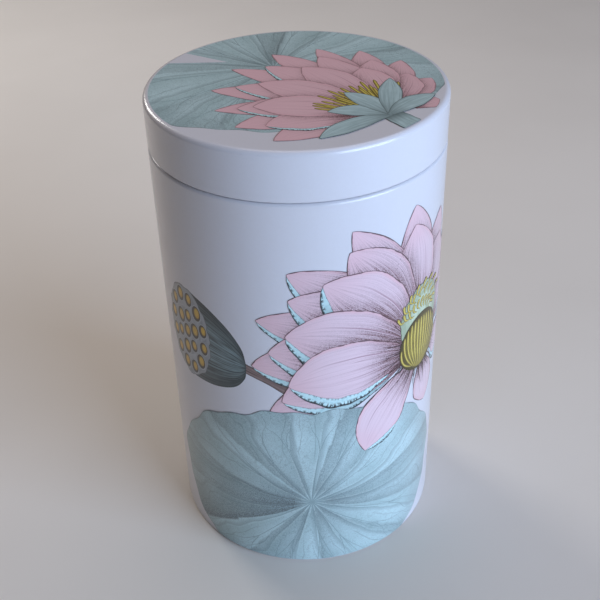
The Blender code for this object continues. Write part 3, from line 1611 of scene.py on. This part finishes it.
@dataclass(frozen=True)
class WallFace:
    """The wall of the tin, laid flat: across from the front, up from the foot."""

    radius: float
    low: float = 0.8

    def snap(self, flat: np.ndarray) -> np.ndarray:
        """Moves points outside the printed area onto its border."""
        return np.stack([flat[:, 0], np.maximum(flat[:, 1], self.low)], axis=1)

    def place(self, flat: np.ndarray, lift: float) -> np.ndarray:
        """Wraps flat points round the wall.

        Args:
            flat: places in millimetres.
            lift: height over the wall, in millimetres.

        Returns:
            Places in metres.
        """
        angle = flat[:, 0] * MM / self.radius
        out = self.radius + lift * MM
        return np.stack([out * np.sin(angle), -out * np.cos(angle), flat[:, 1] * MM], axis=1)

    def outward(self, place: Vector) -> Vector:
        """The direction away from the wall."""
        return Vector((place.x, place.y, 0.0))


@dataclass(frozen=True)
class TopFace:
    """The flat top of the lid."""

    top: float
    reach: float = 51.8

    def snap(self, flat: np.ndarray) -> np.ndarray:
        """Moves points outside the printed area onto its border."""
        out = np.maximum(np.linalg.norm(flat, axis=1), 1e-9)
        return flat * np.minimum(1.0, self.reach / out)[:, None]

    def place(self, flat: np.ndarray, lift: float) -> np.ndarray:
        """Lays flat points on the lid.

        Args:
            flat: places in millimetres.
            lift: height over the lid, in millimetres.

        Returns:
            Places in metres.
        """
        height = np.full(len(flat), self.top + lift * MM)
        return np.stack([flat[:, 0] * MM, flat[:, 1] * MM, height], axis=1)

    def outward(self, place: Vector) -> Vector:
        """Straight up."""
        return Vector((0.0, 0.0, 1.0))


@dataclass(frozen=True)
class Bloom:
    """A petal with its rolled edge, and the hatching that it throws on what lies behind it."""

    petal: Petal
    roll: Optional[RolledEdge] = None
    depth: float = 0.6
    spread: float = 1.8

    def cast(self, spots: np.ndarray) -> np.ndarray:
        """How dark it makes what lies behind it.

        Args:
            spots: a row for each point.

        Returns:
            The darkness of each point, from 0 to 1.
        """
        along = np.linspace(0.0, 1.0, 90)
        dark = np.zeros(len(spots))
        for edge in (1.0, 0.0):
            rim = self.petal.spot(np.full_like(along, edge), along)
            apart = np.linalg.norm(spots[:, None, :] - rim[None, :, :], axis=2)
            fade = 1.0 - 0.75 * along[apart.argmin(axis=1)] ** 2
            soft = np.exp(-apart.min(axis=1) / (self.spread * (0.4 + fade)))
            dark = np.maximum(dark, self.depth * fade * soft)
        return dark


@dataclass(frozen=True)
class Ring:
    """A ring of petals, spread evenly from one direction round to another, in degrees.

    Their tips are within reach of the flower's middle, and roll is the width of their rolled
    edges. Depth and spread are those of the hatching that each throws on what lies behind it.
    """

    name: str
    count: int
    first: float
    last: float
    reach: float
    width: float
    roll: float
    depth: float
    spread: float


@dataclass(frozen=True)
class Lotus:
    """An open lotus, its petals growing from its heart with their tips round a circle.

    The petals start at the inner distance from the heart's middle. One that lies flat enough,
    by its level, has its lower edge rolled over.
    """

    heart: Point
    middle: Point
    inner: float
    rings: tuple[Ring, ...]
    ink: float = 0.9
    level: float = 0.6

    def bloom(self, ring: Ring, number: int) -> Bloom:
        """One petal.

        Args:
            ring: its ring.
            number: its place in the ring.

        Returns:
            The petal.
        """
        angle = ring.first + (ring.last - ring.first) * number / (ring.count - 1)
        turn = math.radians(angle + 2.5 * math.sin(5.0 * number + ring.count))
        reach = ring.reach * (1 + 0.04 * math.sin(7.0 * number + ring.count))
        heart = np.array(self.heart)
        tip = np.array(polar(self.middle, reach, turn))
        length = float(np.linalg.norm(tip - heart))
        way = (tip - heart) / length
        petal = Petal(
            f"petal_{ring.name}_{number + 1}",
            foot=tuple(heart + self.inner * way),
            tip=tuple(tip),
            width=ring.width * (0.5 + 0.5 * min(1.0, length / ring.reach)),
            bow=0.06 * length * float(way[0]),
            belly=0.58 + 0.05 * math.sin(3.0 * number),
            point=0.74,
            root=0.9,
            left=0.06,
            right=0.06,
            ink=self.ink,
        )
        roll = None
        if ring.roll and abs(way[0]) > self.level:
            under = Side.LEFT if way[0] < 0 else Side.RIGHT
            roll = RolledEdge(petal.name + "_roll_1", petal, under, 0.12, 0.995, ring.roll, 0.8)
        return Bloom(petal, roll, ring.depth, ring.spread)

    def blooms(self) -> list[Bloom]:
        """Every petal, from the back forwards."""
        return [self.bloom(ring, number) for ring in self.rings for number in range(ring.count)]


class Press:
    """Prints shapes on one face of the tin, each a hair above the last.

    The first piece lies at a height over the face, the others a step above each other, and the
    shapes of one piece a smaller step, all in millimetres. The thickness of a film is in metres.
    """

    FIRST = 0.008
    STEP = 0.0045
    NEXT = 0.0005
    FILM = 0.0035 * MM

    def __init__(self, face: WallFace | TopFace, body: str, slot: str, prefix: str) -> None:
        """Prepares a face.

        Args:
            face: where it prints.
            body: the CAD body that the print moves with.
            slot: the record's material slot.
            prefix: the start of each piece's name.
        """
        self.face = face
        self.body = body
        self.slot = slot
        self.prefix = prefix
        self.lift = self.FIRST
        self.printed: list[bpy.types.Object] = []

    def sheet(self, shape: Shape, front: Sequence[Bloom]) -> bpy.types.Object:
        """Cuts one film.

        Args:
            shape: its outline.
            front: petals in front of it, which darken it.

        Returns:
            The film, not yet thick.
        """
        clear_selection()
        wide, long = shape.cells
        bpy.ops.mesh.primitive_grid_add(x_subdivisions=wide, y_subdivisions=long, size=1.0)
        film = bpy.context.object
        film.name = self.prefix + shape.name
        mesh = film.data
        flat = np.empty(len(mesh.vertices) * 3, np.float32)
        mesh.vertices.foreach_get("co", flat)
        flat = flat.reshape(-1, 3).astype(float) + 0.5
        across, along = flat[:, 0], shape.spacing(flat[:, 1])
        spots = shape.spot(across, along)
        inside = self.face.snap(spots)
        outside = np.linalg.norm(inside - spots, axis=1) > 1e-6
        mesh.vertices.foreach_set("co", self.face.place(inside, self.lift).ravel())
        looks = shape.looks(across, along)
        for bloom in front:
            looks["shade"] = 1 - (1 - looks["shade"]) * (1 - bloom.cast(spots))
        for name, numbers in looks.items():
            layer = mesh.attributes.new(name, "FLOAT", "POINT")
            layer.data.foreach_set("value", numbers.astype(np.float32))
        corners = np.empty(len(mesh.loops), np.int32)
        mesh.loops.foreach_get("vertex_index", corners)
        mesh.uv_layers.active.name = PRINT_MAP
        spread = np.stack([across, along], axis=1)[corners]
        mesh.uv_layers[PRINT_MAP].data.foreach_set("uv", spread.astype(np.float32).ravel())
        mesh.update()
        self.tidy(film, outside)
        return film

    def tidy(self, film: bpy.types.Object, outside: np.ndarray) -> None:
        """Cuts off what is outside, closes seams and turns the film outwards.

        Args:
            film: the film.
            outside: which points are outside the printed area.
        """
        bpy.ops.object.mode_set(mode="EDIT")
        shape = bmesh.from_edit_mesh(film.data)
        shape.verts.ensure_lookup_table()
        for part in [*shape.faces, *shape.edges, *shape.verts]:
            part.select = False
        for face in shape.faces:
            face.select = all(outside[point.index] for point in face.verts)
        bmesh.update_edit_mesh(film.data)
        if any(face.select for face in shape.faces):
            bpy.ops.mesh.delete(type="FACE")
        bpy.ops.mesh.select_all(action="SELECT")
        bpy.ops.mesh.remove_doubles(threshold=0.0005 * MM)
        shape = bmesh.from_edit_mesh(film.data)
        shape.normal_update()
        facing = 0.0
        for face in shape.faces:
            outward = self.face.outward(face.calc_center_median())
            facing += face.calc_area() * face.normal.dot(outward)
        if facing < 0:
            bpy.ops.mesh.flip_normals()
        bpy.ops.object.mode_set(mode="OBJECT")

    def lay(
        self, ink: Ink, *shapes: Shape, name: Optional[str] = None, front: Sequence[Bloom] = ()
    ) -> None:
        """Prints shapes as one piece.

        Args:
            ink: their ink.
            *shapes: the shapes.
            name: the piece's name, or None for that of the only shape.
            front: petals in front of them, which darken them.
        """
        films = []
        for shape in shapes:
            films.append(self.sheet(shape, front))
            self.lift += self.NEXT
        piece = films[0]
        clear_selection()
        for film in films:
            film.select_set(True)
        bpy.context.view_layer.objects.active = piece
        if len(films) > 1:
            bpy.ops.object.join()
        if name:
            piece.name = self.prefix + name
        thick = piece.modifiers.new("film", "SOLIDIFY")
        thick.thickness = self.FILM
        thick.offset = -1.0
        bpy.ops.object.modifier_apply(modifier=thick.name)
        bpy.ops.object.shade_smooth_by_angle(angle=SMOOTH_ANGLE)
        dress(piece, ink)
        hand_over(piece, self.body, self.slot)
        self.printed.append(piece)
        self.lift += self.STEP

    def flower(self, blooms: Sequence[Bloom], ink: Ink) -> None:
        """Prints petals and their rolled edges, from the back forwards.

        Args:
            blooms: the petals in their order.
            ink: their ink.
        """
        for place, bloom in enumerate(blooms, 1):
            self.lay(ink, bloom.petal, front=blooms[place:])
            if bloom.roll:
                self.lay(RolledInk(), bloom.roll, front=blooms[place:])

    def repeat(self, turn: float, ending: str) -> None:
        """Prints everything again further round the tin.

        Args:
            turn: how far round, in degrees.
            ending: the end of each copy's name.
        """
        rotation = Matrix.Rotation(math.radians(turn), 4, "Z")
        for piece in self.printed:
            copy = piece.copy()
            copy.data = piece.data.copy()
            copy.name = piece.name + ending
            copy.data.transform(rotation)
            bpy.context.scene.collection.objects.link(copy)
            hand_over(copy, self.body, self.slot)


POD_SIDE = BandInk("pod_side_ink", (0.23, 0.32, 0.34), (0.035, 0.055, 0.06), 46.0, 0.95, 0.8)
POD_FACE = BandInk("pod_face_ink", (0.47, 0.50, 0.54), (0.26, 0.28, 0.31), 7.0, 0.8, 0.9)
POD_LIP = BandInk("pod_lip_ink", (0.66, 0.69, 0.73), (0.42, 0.44, 0.48), 5.0, 0.7, 0.5)
SEED = BandInk("seed_ink", (0.80, 0.52, 0.05), (0.42, 0.21, 0.015), 4.0, 0.6, 0.95)
SEED_RIM = BandInk("seed_rim_ink", (0.10, 0.075, 0.04), (0.05, 0.035, 0.02), 4.0, 0.6, 0.5)
STEM = BandInk("stem_ink", (0.27, 0.19, 0.18), (0.09, 0.055, 0.055), 6.0, 0.8, 0.9)
CROWN = BandInk("crown_ink", (0.60, 0.70, 0.54), (0.36, 0.44, 0.27), 5.0, 0.7, 0.9)
STAMEN_DEEP = BandInk("stamen_deep_ink", (0.36, 0.30, 0.05), (0.12, 0.09, 0.015), 3.0, 0.8, 0.7)
STAMEN = BandInk("stamen_ink", (0.73, 0.60, 0.13), (0.30, 0.21, 0.03), 3.0, 0.7, 0.9)
LINE = BandInk("line_ink", (0.085, 0.045, 0.055), (0.05, 0.028, 0.034), 2.0, 0.5, 0.0)
LEAF_VEIN = BandInk("leaf_vein_ink", (0.25, 0.35, 0.37), (0.16, 0.23, 0.25), 2.0, 0.5, 0.0)
SEPAL = BandInk("sepal_ink", (0.50, 0.66, 0.68), (0.27, 0.38, 0.39), 9.0, 0.6, 0.9)


@dataclass(frozen=True)
class WallDesign:
    """The lotus on the wall: flower, seed pod and leaf, printed twice round the tin."""

    press: Press
    heart: Point = (51.0, 97.0)
    heart_reach: float = 12.8
    heart_foot: Point = (51.0, 84.0)
    heart_stamens: int = 13
    crown_rise: float = 12.0
    crown_reach: Point = (12.8, 13.8)
    crown_stamens: int = 24
    stamen_rise: float = 10.5
    flower_middle: Point = (31.0, 105.0)
    creases: int = 64
    crease_start: float = 12.4
    hanging_foot: Point = (46.0, 87.0)
    hanging_tip: Point = (23.0, 57.0)
    pod_middle: Point = (-49.5, 105.0)
    pod_reach: Point = (12.6, 20.5)
    pod_seeds: tuple[int, ...] = (1, 6, 12)
    leaf_middle: Point = (1.5, 34.5)
    leaf_reach: Point = (64.0, 47.0)
    leaf_veins: int = 15

    def flower(self) -> Lotus:
        """Arranges the flower.

        Returns:
            Its three rings of petals round its heart.
        """
        rings = (
            Ring("outer", 11, -55.0, 212.0, 52.5, 20.0, 2.8, 0.45, 2.0),
            Ring("middle", 7, 10.0, 207.0, 45.5, 24.0, 3.2, 0.6, 2.6),
            Ring("inner", 3, 126.0, 196.0, 40.0, 26.0, 4.2, 0.75, 3.6),
        )
        return Lotus(self.heart, self.flower_middle, 11.0, rings)

    def crown(self) -> None:
        """Prints the pale crown behind the heart, and its curled stamens."""
        x, y = self.heart
        outline = oval(*self.crown_reach)
        self.press.lay(CROWN, Blot("crown", (x, y + self.crown_rise), outline, 0.25, dark=0.35))
        curls = []
        for number in range(self.crown_stamens):
            angle = math.radians(14 + 146 * number / (self.crown_stamens - 1))
            low = 5.0 + 3.3 * (number % 3) + math.sin(4.0 * number)
            foot = polar((x, y + self.stamen_rise), low, angle)
            middle = polar(foot, 2.6, angle + 0.45)
            tip = polar(middle, 3.2, angle - 0.7)
            curls.append(Stroke("curl", (tip, middle, foot), 1.8, cells=(3, 14)))
        self.press.lay(LINE, *curls, name="crown_shadows")
        self.press.lay(STAMEN, *(replace(curl, width=1.1) for curl in curls), name="crown_stamens")

    def dome(self) -> None:
        """Prints the heart of the flower, a dome of stamens."""
        x, y = self.heart
        foot_x, foot_y = self.heart_foot
        dome = Blot("heart", self.heart, oval(self.heart_reach, self.heart_reach), dark=0.95)
        self.press.lay(STAMEN_DEEP, dome)
        shape = {"neck": 0.6, "belly": 0.85, "point": 0.4, "root": 0.35, "cells": (4, 30)}
        strips = []
        for number in range(self.heart_stamens):
            side = 2 * number / (self.heart_stamens - 1) - 1
            reach = 12.3 * (0.95 + 0.05 * math.sin(7.0 * number))
            top = (x + reach * side, y + reach * math.sqrt(max(0.0, 1.02 - side * side)) - 0.6)
            foot = (foot_x + 5.0 * side, foot_y + 1.0 + 2.4 * side * side)
            bow = -3.6 * side * (1 - 0.3 * abs(side))
            strips.append(Petal("strip", foot, top, 1.75 - 0.5 * abs(side), bow, **shape))
        self.press.lay(STAMEN, *strips, name="heart_stamens")

    def foot_lines(self) -> None:
        """Prints the fine dark lines at the feet of the petals."""
        start = self.crease_start
        lines = []
        for number in range(self.creases):
            turn = 97 + 206 * number / (self.creases - 1) + 1.2 * math.sin(11.0 * number)
            angle = math.radians(turn)
            reach = 6.5 + 4.0 * math.sin(5.0 * number + 1.0) + 2.0 * math.sin(2.3 * number)
            places = []
            for out in (start, start + reach / 2, start + reach):
                lean = 0.012 * (out - start) * math.sin(3.0 * number)
                places.append(polar(self.heart, out, angle + lean))
            lines.append(Stroke("crease", tuple(places), 0.42, cells=(2, 10)))
        self.press.lay(LINE, *lines, name="foot_lines")

    def pod(self) -> None:
        """Prints the stem and the side and the face of the seed pod."""
        below = ((8, 81.5), (-6, 89.0), (-14, 94.0), (-23, 97.6))
        above = ((8, 85.5), (-5, 92.8), (-13, 98.0), (-23, 102.2))
        self.press.lay(STEM, Swath("stem", below, above))
        upper = ((-21.5, 101.5), (-23.0, 108), (-28.5, 115.5), (-37, 121.5), (-47, 125))
        lower = ((-21.5, 98.5), (-22.5, 94), (-27, 89), (-36, 86), (-47, 85))
        self.press.lay(POD_SIDE, Swath("pod_side", lower, upper, cells=(48, 40), root=0.7, dark=0.75))
        rim = oval(*self.pod_reach)
        self.press.lay(POD_FACE, Blot("pod_face", self.pod_middle, rim, 0.35, cells=(16, 90), dark=0.25))

    def seeds(self) -> None:
        """Prints rings of seeds in their cups, on the face of the pod."""
        x, y = self.pod_middle
        wide, high = self.pod_reach
        lips, cups, seeds = [], [], []
        for ring, count in enumerate(self.pod_seeds):
            for number in range(count):
                turn = FULL_TURN * (number + 0.25 * ring) / count
                out = 0.385 * ring * (1 + 0.03 * math.sin(5.0 * number))
                middle = (x + wide * out * math.cos(turn), y + high * out * math.sin(turn))
                inner = (middle[0] + 0.35, middle[1] + 0.35)
                size = 1.0 + 0.1 * math.sin(3.0 * number + 2.0 * ring)
                lips.append(self.seed(middle, 2.6 * size, 3.7 * size))
                cups.append(self.seed(middle, 2.1 * size, 3.15 * size))
                seeds.append(self.seed(inner, 1.5 * size, 2.35 * size))
        self.press.lay(POD_LIP, *lips, name="seed_lips")
        self.press.lay(SEED_RIM, *cups, name="seed_cups")
        self.press.lay(SEED, *seeds, name="seeds")

    def seed(self, middle: Point, wide: float, high: float) -> Blot:
        """One seed, or the cup round it, from its middle and half its width and height."""
        return Blot("seed", middle, oval(wide, high), cells=(5, 24), dark=0.4)

    def leaf(self) -> None:
        """Prints the leaf and its veins."""
        folds = (Fold(206.5, 0.8, -13.0, 3.0), *folds_round(12, 14.0, 0.34))
        leaf = Leaf("leaf", self.leaf_middle, oval(*self.leaf_reach), 0.8, folds, dark=0.5)
        self.press.lay(LeafInk(), leaf)
        self.press.lay(LEAF_VEIN, *leaf.forked_veins(8.0, self.leaf_veins, 0.34), name="leaf_veins")

    def hanging_petal(self) -> None:
        """Prints the petal that hangs in front of the leaf."""
        foot, tip = self.hanging_foot, self.hanging_tip
        petal = Petal("petal_hanging", foot, tip, 22.0, -3.0, root=0.6, ink=0.95)
        roll = RolledEdge("petal_hanging_roll_1", petal, Side.LEFT, 0.66, 0.995, 2.6)
        self.press.flower([Bloom(petal, roll)], PetalInk())

    def build(self) -> None:
        """Prints the whole design, and again on the back."""
        self.pod()
        self.seeds()
        self.press.flower(self.flower().blooms(), PetalInk())
        self.leaf()
        self.hanging_petal()
        self.foot_lines()
        self.crown()
        self.dome()
        self.press.repeat(180.0, "_back")


@dataclass(frozen=True)
class LidDesign:
    """The lotus on the lid: a flower from the side on a leaf."""

    press: Press
    leaf_middle: Point = (-8.0, 15.0)
    leaf_reach: Point = (64.0, 53.0)
    leaf_veins: int = 15
    foot: Point = (31.0, -28.0)
    flower_middle: Point = (10.0, -10.0)
    stamen_rings: tuple[tuple[float, int], ...] = ((27.0, 17), (22.0, 14), (16.0, 10))
    stem_end: Point = (41.0, -41.0)
    stem_width: float = 8.5

    def leaf(self) -> None:
        """Prints the leaf."""
        folds = (Fold(86.0, 0.5, 5.0, -6.0), *folds_round(9, 20.0, 0.25))
        leaf = Leaf("leaf", self.leaf_middle, oval(*self.leaf_reach), 0.7, folds, dark=0.4)
        self.press.lay(LeafInk(), leaf)
        self.press.lay(LEAF_VEIN, *leaf.forked_veins(3.0, self.leaf_veins, 0.30), name="leaf_veins")

    def cleft(self) -> None:
        """Prints the gap in the leaf's edge."""
        gap = Swath("leaf_gap", ((-25, 21.5), (-50, 22)), ((-25, 21.5), (-50, 37)), cells=(8, 20))
        self.press.lay(WhiteGround(), gap)

    def petals(self) -> None:
        """Prints the petals."""
        rings = (
            Ring("outer", 11, -8.0, 246.0, 40.5, 13.5, 0.0, 0.5, 1.4),
            Ring("middle", 7, 26.0, 232.0, 33.0, 15.5, 1.5, 0.5, 1.4),
            Ring("inner", 4, 60.0, 200.0, 26.5, 17.0, 0.0, 0.5, 1.4),
        )
        flower = Lotus(self.foot, self.flower_middle, 9.0, rings, 0.55)
        self.press.flower(flower.blooms(), PetalInk(name="lid_petal_ink", pale=(0.80, 0.52, 0.56)))

    def stamens(self) -> None:
        """Prints the stamens."""
        shape = {"neck": 0.3, "belly": 0.9, "point": 0.4, "root": 0.15, "cells": (4, 22)}
        strips = []
        for ring, (reach, count) in enumerate(self.stamen_rings):
            for number in range(count):
                share = number / (count - 1)
                angle = math.radians(80 + 88 * share + 1.5 * math.sin(5.0 * number))
                out = reach * (1 + 0.08 * math.sin(9.0 * number + ring))
                tip = polar(self.foot, out, angle)
                strips.append(Petal("stamen", self.foot, tip, 1.35, 1.2 * (share - 0.5), **shape))
        self.press.lay(STAMEN, *strips, name="stamens")

    def sepals(self) -> None:
        """Prints the sepals round the flower's foot, and the stem."""
        wide = self.stem_width
        shape = {"neck": 0.9, "belly": 0.5, "point": 0.2, "root": 0.8}
        self.press.lay(SEPAL, Petal("stem", self.foot, self.stem_end, wide, **shape))
        for number, angle in enumerate(range(215, 25, -43), 1):
            turn = math.radians(angle)
            tip = polar(self.foot, 25.0 + 5.0 * math.sin(2.0 * number), turn)
            bow = 2.0 * math.cos(turn)
            sepal = Petal(f"sepal_{number}", self.foot, tip, wide, bow, root=0.5, left=0.2)
            self.press.lay(SEPAL, sepal)

    def build(self) -> None:
        """Prints the whole design."""
        self.leaf()
        self.cleft()
        self.petals()
        self.stamens()
        self.sepals()


# ------------------------------------------------------------------- the studio


@dataclass(frozen=True)
class Lamp:
    """A soft light: where it hangs, its width and height, its power in watts and its colour."""

    name: str
    place: Triple
    size: Point
    power: float
    colour: Colour

    def hang(self, aim: Triple) -> None:
        """Hangs the light.

        Args:
            aim: the point that it faces.
        """
        data = bpy.data.lights.new(self.name, "AREA")
        data.shape = "RECTANGLE"
        data.size, data.size_y = self.size
        data.energy = self.power
        data.color = self.colour
        lamp = bpy.data.objects.new(self.name, data)
        bpy.context.scene.collection.objects.link(lamp)
        lamp.location = self.place
        way = Vector(aim) - Vector(self.place)
        lamp.rotation_euler = way.to_track_quat("-Z", "Y").to_euler()
        lamp.visible_camera = False


@dataclass(frozen=True)
class Studio:
    """Floor, camera, soft lights and a plain backdrop."""

    distance: float = 0.460
    elevation: float = 44.73
    pitch: float = 35.10
    yaw: float = -0.16
    roll: float = -1.72
    lens: float = 59.17
    sensor: float = 36.0
    floor_radius: float = 0.95
    floor_drop: float = 0.0001
    aim: Triple = (0.0, 0.0, 0.09)
    lamps: tuple[Lamp, ...] = (
        Lamp("window", (1.35, -1.155, 0.54), (1.35, 1.2), 45.0, (0.585, 0.745, 1.0)),
        Lamp("top_fill", (0.1, 0.25, 1.2), (0.9, 0.9), 3.4, (1.0, 0.88, 0.84)),
        Lamp("rim", (-0.55, 0.65, 0.55), (0.25, 0.35), 2.4, (1.0, 0.97, 0.94)),
    )
    air: Colour = (1.0, 0.86, 0.77)
    air_strength: float = 0.08
    backdrop: Colour = (0.52, 0.50, 0.48)

    def floor(self) -> None:
        """Lays the floor."""
        clear_selection()
        bpy.ops.mesh.primitive_circle_add(
            vertices=128,
            radius=self.floor_radius,
            fill_type="NGON",
            location=(0.0, 0.0, -self.floor_drop),
        )
        floor = bpy.context.object
        floor.name = "studio_floor"
        dress(floor, StudioFloor())

    def camera(self) -> None:
        """Sets up the camera, above the front of the tin."""
        data = bpy.data.cameras.new("camera")
        data.lens = self.lens
        data.sensor_width = self.sensor
        data.clip_start = 0.01
        camera = bpy.data.objects.new("camera", data)
        bpy.context.scene.collection.objects.link(camera)
        up = math.radians(self.elevation)
        turn = Matrix.Rotation(-math.radians(self.yaw), 4, "Z")
        tilt = Matrix.Rotation(math.radians(90.0 - self.pitch), 4, "X")
        roll = Matrix.Rotation(math.radians(self.roll), 4, "Z")
        place = Vector((0.0, -self.distance * math.cos(up), self.distance * math.sin(up)))
        camera.matrix_world = Matrix.Translation(place) @ turn @ tilt @ roll
        bpy.context.scene.camera = camera

    def world(self) -> None:
        """Sets up dim light from all round, and the pale backdrop that the camera sees."""
        world = bpy.data.worlds.new("studio_world")
        world.use_nodes = True
        tree = world.node_tree
        air = tree.nodes["Background"]
        air.inputs["Color"].default_value = (*self.air, 1.0)
        air.inputs["Strength"].default_value = self.air_strength
        pale = tree.nodes.new("ShaderNodeBackground")
        pale.inputs["Color"].default_value = (*self.backdrop, 1.0)
        seen = tree.nodes.new("ShaderNodeLightPath")
        either = tree.nodes.new("ShaderNodeMixShader")
        tree.links.new(seen.outputs["Is Camera Ray"], either.inputs[0])
        tree.links.new(air.outputs[0], either.inputs[1])
        tree.links.new(pale.outputs[0], either.inputs[2])
        tree.links.new(either.outputs[0], tree.nodes["World Output"].inputs["Surface"])
        bpy.context.scene.world = world

    def build(self) -> None:
        """Sets up the whole studio."""
        self.floor()
        self.camera()
        for lamp in self.lamps:
            lamp.hang(self.aim)
        self.world()
        bpy.context.scene.view_settings.view_transform = "Standard"


# ------------------------------------------------------------------------ main


def main() -> None:
    """Builds the tin, its design and the studio."""
    logging.basicConfig(level=logging.INFO, format="%(name)s: %(message)s")
    nodes = frame["nodes"]
    can = Can()
    can.build(nodes)
    lid = SlipLid()
    lid.build(can.neck_radius)
    PlugLid().build(nodes, can.neck_radius - 2 * can.neck_hem)
    WallDesign(Press(WallFace(can.radius), "tin", "printed_wall", "wall_")).build()
    LidDesign(Press(TopFace(lid.top), "lid", "printed_lid", "lid_")).build()
    Studio().build()


if __name__ == "__main__":
    main()
